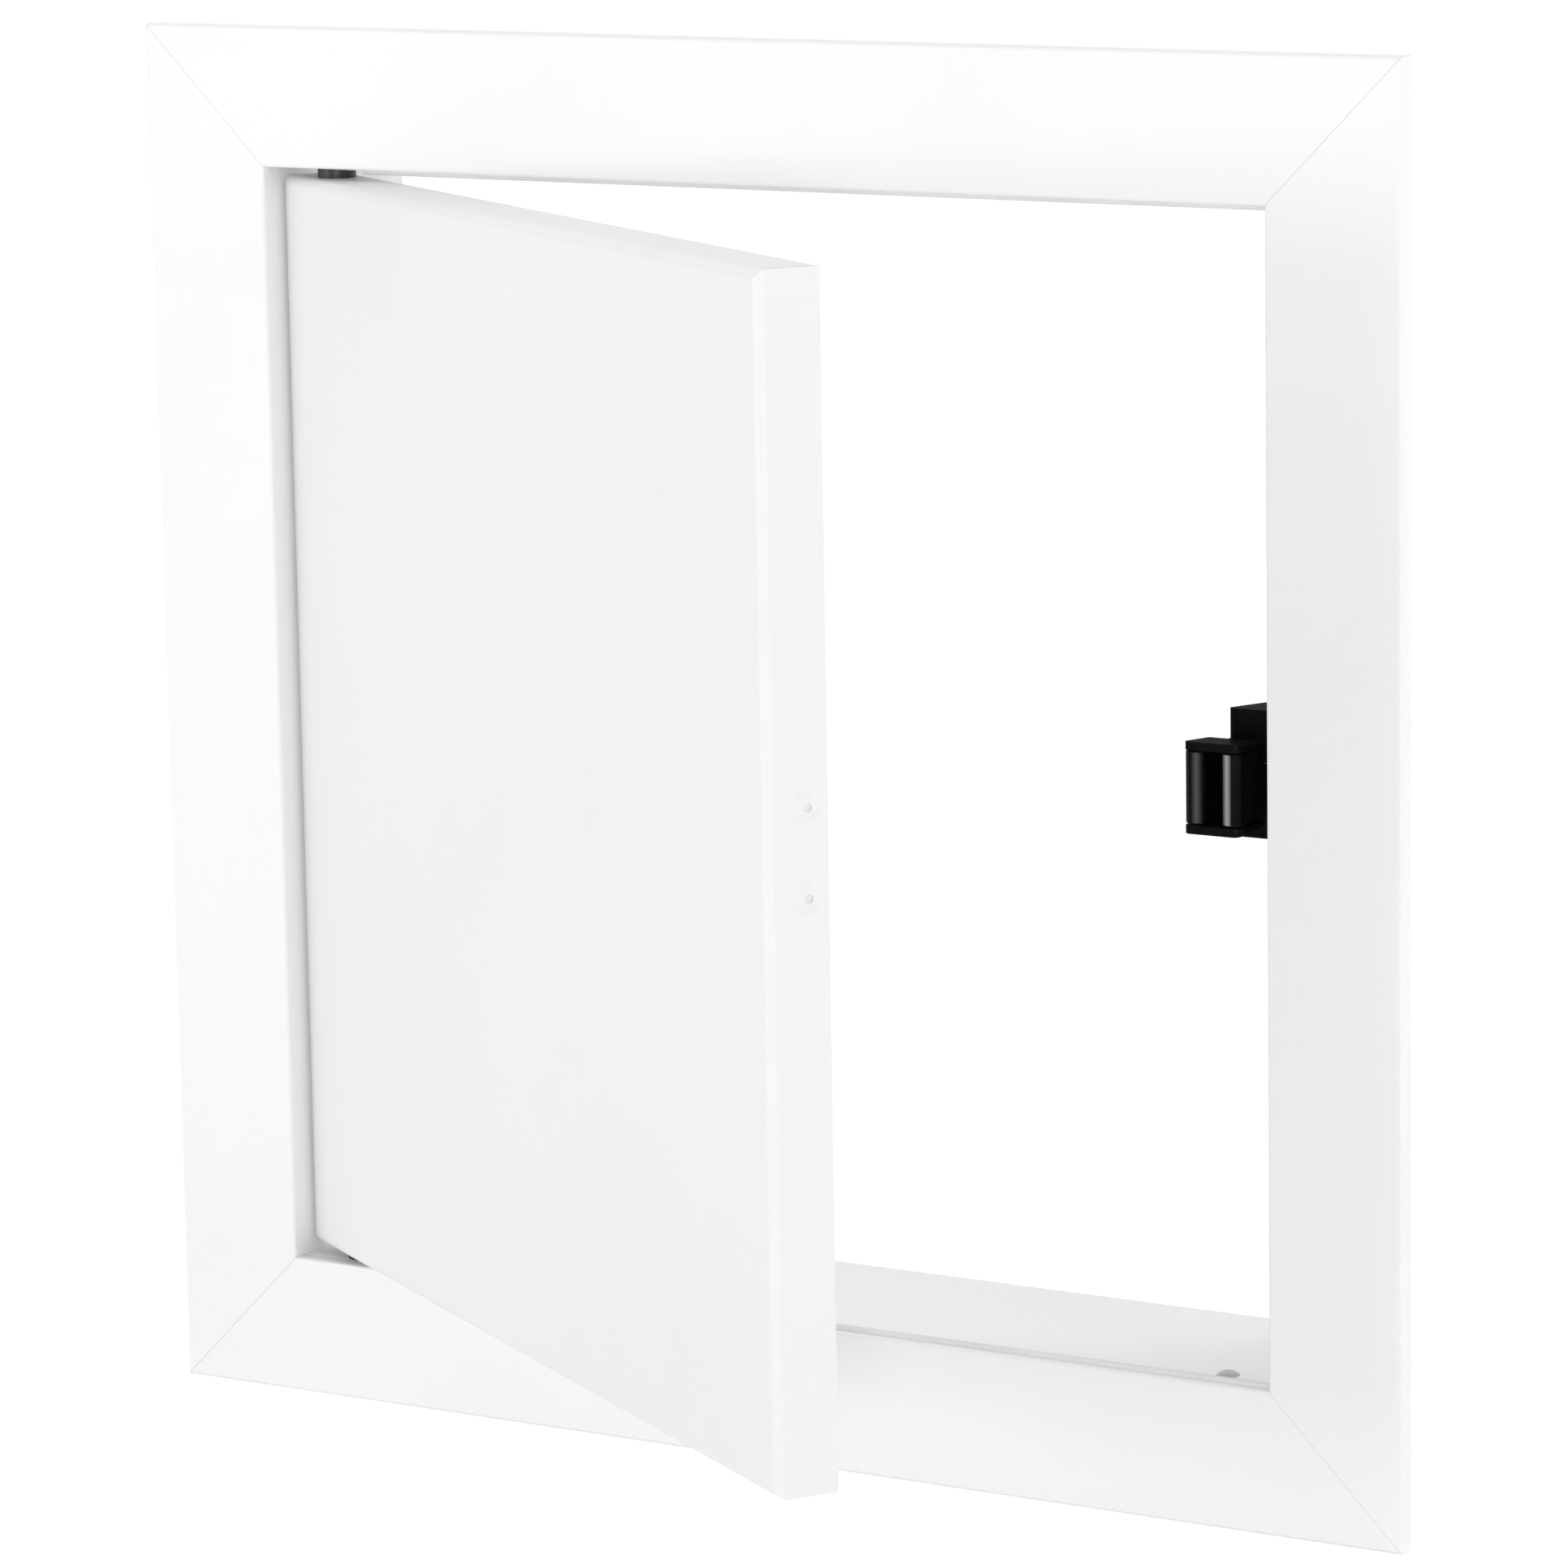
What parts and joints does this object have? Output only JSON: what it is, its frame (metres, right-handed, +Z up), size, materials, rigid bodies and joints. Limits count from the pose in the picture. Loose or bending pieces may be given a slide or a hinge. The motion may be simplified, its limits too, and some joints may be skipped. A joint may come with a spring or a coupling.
{
  "type": "access panel",
  "caption": "Square flush access panel: mitred aluminium frame with a wide face flange, a folded pan door on removable pivot pins and a sprung touch latch that grips the door's striker.",
  "frame": {"origin": "centre of the clear opening, in the plane of the wall or ceiling surface that the flange's edge seats on", "axes": "+Y into the wall, square to the face; +Z up the hinge axis; +X from the hinge side to the latch side. The door stands open at 33 degrees at rest."},
  "size_m": [0.254, 0.1459, 0.254],
  "materials": {
    "frame_coat": "smooth white powder coat on extruded aluminium",
    "door_coat": "smooth white powder coat on folded aluminium sheet",
    "rivet_coat": "aluminium blind rivets, white coated",
    "zinc_steel": "bright zinc plate",
    "dark_steel": "dark oiled steel",
    "spring_steel": "drawn spring wire",
    "seal_rubber": "matt off-white extruded rubber",
    "plug_nylon": "grey moulded nylon",
    "latch_black": "black moulded nylon with a fine matt skin",
    "spacer_nylon": "black moulded nylon"
  },
  "bodies": {
    "frame": {"frame_bottom_rail": "frame_coat", "frame_top_rail": "frame_coat", "frame_left_stile": "frame_coat", "frame_right_stile": "frame_coat", "corner_key_bottom_left": "zinc_steel", "corner_key_bottom_right": "zinc_steel", "corner_key_top_left": "zinc_steel", "corner_key_top_right": "zinc_steel", "key_set_screws": "dark_steel", "dust_seal": "seal_rubber", "spare_hole_plugs": "plug_nylon", "latch_housing": "latch_black", "latch_rear_cap": "latch_black", "latch_screws": "dark_steel", "latch_spring": "spring_steel"},
    "door": {"door_leaf": "door_coat", "striker_bracket": "zinc_steel", "striker": "zinc_steel", "striker_rivets": "rivet_coat", "upper_hinge_bracket": "zinc_steel", "lower_hinge_bracket": "zinc_steel", "hinge_bracket_rivets": "rivet_coat", "lower_pivot_pin": "dark_steel", "upper_pivot_spacer": "spacer_nylon", "lower_pivot_spacer": "spacer_nylon", "upper_pin_spring": "spring_steel"},
    "upper_pin": {"upper_pivot_pin": "dark_steel"},
    "plunger": {"latch_plunger": "latch_black", "latch_claw_pins": "zinc_steel"},
    "claw_inner": {"latch_claw_inner": "latch_black"},
    "claw_outer": {"latch_claw_outer": "latch_black"}
  },
  "joints": [
    {"name": "door_swing", "type": "hinge", "parent": "frame", "child": "door", "pos_m": [-0.0902, 0.0034, 0], "axis": [0, 0, -1], "range_deg": [-33, 77]},
    {"name": "upper_pin_draw", "type": "slide", "parent": "door", "child": "upper_pin", "axis": [0, 0, -1], "range_m": [0, 0.005], "stiffness_N_per_m": 400, "springref_m": -0.006, "deforming": ["upper_pin_spring"]},
    {"name": "latch_press", "type": "slide", "parent": "frame", "child": "plunger", "axis": [0, 1, 0], "range_m": [0, 0.002], "stiffness_N_per_m": 1000, "springref_m": -0.004, "deforming": ["latch_spring"]},
    {"name": "claw_inner_shut", "type": "hinge", "parent": "plunger", "child": "claw_inner", "pos_m": [0.0861, 0.0154, 0.0016], "axis": [0, 0, 1], "range_deg": [0, 4.6]},
    {"name": "claw_outer_shut", "type": "hinge", "parent": "plunger", "child": "claw_outer", "pos_m": [0.0919, 0.0154, 0.0016], "axis": [0, 0, -1], "range_deg": [0, 4.6]}
  ],
  "couplings": [
    {"joint": "claw_inner_shut", "follows": "latch_press", "rad_per_m": 39.27},
    {"joint": "claw_outer_shut", "follows": "latch_press", "rad_per_m": 39.27}
  ]
}
